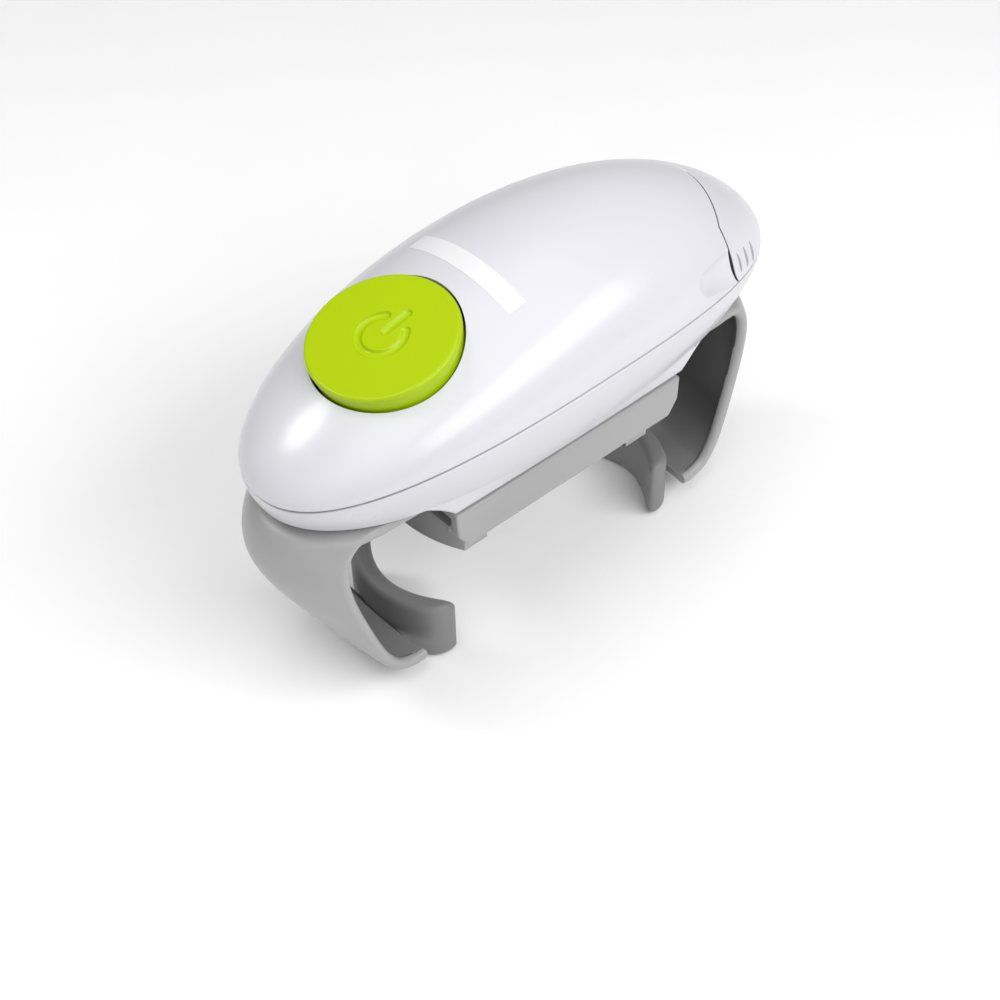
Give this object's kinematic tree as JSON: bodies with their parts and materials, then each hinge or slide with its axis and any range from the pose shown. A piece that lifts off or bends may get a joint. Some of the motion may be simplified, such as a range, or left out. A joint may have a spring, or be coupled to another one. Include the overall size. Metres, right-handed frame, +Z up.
{
  "type": "electric jar opener",
  "caption": "Hands-free electric jar opener: an oval body with a round start button, curved arms that hold the jar, and a turntable whose jaws grip the lid.",
  "frame": {"origin": "middle of the bounding box, on the surface that the grip pads stand on", "axes": "+X along the body towards the battery cover, +Y across it, +Z up, parallel to the turntable's axis"},
  "size_m": [0.2128, 0.0868, 0.1387],
  "materials": {
    "shell_white": "gloss",
    "button_green": "gloss",
    "arm_grey": "satin",
    "pad_grey": "matte",
    "carriage_grey": "satin",
    "inner_black": "matte",
    "grip_black": "matte",
    "gear_acetal": "satin",
    "steel": "brushed",
    "brass": "satin",
    "board_green": "satin",
    "cell_jacket": "gloss",
    "lead_red": "satin",
    "lead_black": "satin"
  },
  "bodies": {
    "housing": {"top_cover": "shell_white", "lower_housing": "shell_white", "housing_screw_1": "steel", "housing_screw_2": "steel", "housing_screw_3": "steel", "housing_screw_4": "steel", "button_well": "inner_black", "circuit_board": "board_green", "start_switch": "inner_black", "motor": "steel", "gear_plate": "steel", "chassis": "steel", "gear_post_1": "brass", "gear_post_2": "brass", "gear_post_3": "brass", "gear_post_4": "brass", "first_gear_axle": "steel", "intermediate_gear_axle": "steel", "turntable_bush": "brass", "thrust_washer": "gear_acetal", "battery_tray": "inner_black", "battery_1": "cell_jacket", "battery_2": "cell_jacket", "negative_spring": "steel", "positive_contact": "steel", "contact_bridge": "steel", "positive_lead": "lead_red", "negative_lead": "lead_black"},
    "battery_door": {"battery_cover": "shell_white"},
    "button": {"start_button": "button_green", "button_spring": "steel"},
    "motor_rotor": {"motor_shaft": "steel", "motor_pinion": "brass"},
    "first_reduction": {"first_gear": "gear_acetal"},
    "second_reduction": {"intermediate_gear": "gear_acetal"},
    "turntable": {"carriage": "carriage_grey", "carriage_shaft": "steel", "turntable_gear": "gear_acetal", "turntable_screw": "steel", "jaw_pinion_pin": "steel"},
    "jaw_drive": {"jaw_pinion": "gear_acetal"},
    "left_jaw": {"left_lid_jaw": "arm_grey", "left_jaw_grip": "grip_black", "left_jaw_rack": "gear_acetal"},
    "right_jaw": {"right_lid_jaw": "arm_grey", "right_jaw_grip": "grip_black", "right_jaw_rack": "gear_acetal"},
    "arm_drive": {"arm_pinion": "gear_acetal"},
    "left_holder": {"left_arm": "arm_grey", "left_grip_pad": "pad_grey", "left_arm_rack": "gear_acetal"},
    "right_holder": {"right_arm": "arm_grey", "right_grip_pad": "pad_grey", "right_arm_rack": "gear_acetal"}
  },
  "joints": [
    {"name": "battery_cover_slide", "type": "slide", "parent": "housing", "child": "battery_door", "axis": [1, 0, 0], "range_m": [0, 0.022]},
    {"name": "start_button_press", "type": "slide", "parent": "housing", "child": "button", "axis": [0.3338, 0, -0.9426], "range_m": [0, 0.0025], "stiffness_N_per_m": 900, "springref_m": -0.001, "deforming": ["button_spring"]},
    {"name": "turntable_spin", "type": "hinge", "parent": "housing", "child": "turntable", "pos_m": [-0.00157, 0, 0.0711], "axis": [0, 0, 1], "continuous": true},
    {"name": "intermediate_gear_spin", "type": "hinge", "parent": "housing", "child": "second_reduction", "pos_m": [-0.03357, 0, 0.087], "axis": [0, 0, 1], "continuous": true},
    {"name": "first_gear_spin", "type": "hinge", "parent": "housing", "child": "first_reduction", "pos_m": [-0.02762, 0.0222, 0.093], "axis": [0, 0, 1], "continuous": true},
    {"name": "motor_spin", "type": "hinge", "parent": "housing", "child": "motor_rotor", "pos_m": [-0.01307, 0.01159, 0.097], "axis": [0, 0, 1], "continuous": true},
    {"name": "left_jaw_slide", "type": "slide", "parent": "turntable", "child": "left_jaw", "axis": [1, 0, 0], "range_m": [0, 0.024]},
    {"name": "right_jaw_slide", "type": "slide", "parent": "turntable", "child": "right_jaw", "axis": [-1, 0, 0], "range_m": [0, 0.024]},
    {"name": "jaw_pinion_spin", "type": "hinge", "parent": "turntable", "child": "jaw_drive", "pos_m": [-0.00157, 0, 0.0613], "axis": [0, 0, 1], "range_deg": [-173, 1]},
    {"name": "left_arm_slide", "type": "slide", "parent": "housing", "child": "left_holder", "axis": [1, 0, 0], "range_m": [0, 0.024]},
    {"name": "right_arm_slide", "type": "slide", "parent": "housing", "child": "right_holder", "axis": [-1, 0, 0], "range_m": [0, 0.024]},
    {"name": "arm_pinion_spin", "type": "hinge", "parent": "housing", "child": "arm_drive", "pos_m": [-0.00157, 0, 0.0761], "axis": [0, 0, 1], "range_deg": [-116, 1]}
  ],
  "couplings": [
    {"joint": "intermediate_gear_spin", "follows": "turntable_spin", "ratio": -4.3333},
    {"joint": "first_gear_spin", "follows": "turntable_spin", "ratio": 15.6},
    {"joint": "motor_spin", "follows": "turntable_spin", "ratio": -54.6},
    {"joint": "right_jaw_slide", "follows": "left_jaw_slide", "ratio": 1},
    {"joint": "jaw_pinion_spin", "follows": "left_jaw_slide", "rad_per_m": -125},
    {"joint": "right_arm_slide", "follows": "left_arm_slide", "ratio": 1},
    {"joint": "arm_pinion_spin", "follows": "left_arm_slide", "rad_per_m": -83.333}
  ]
}
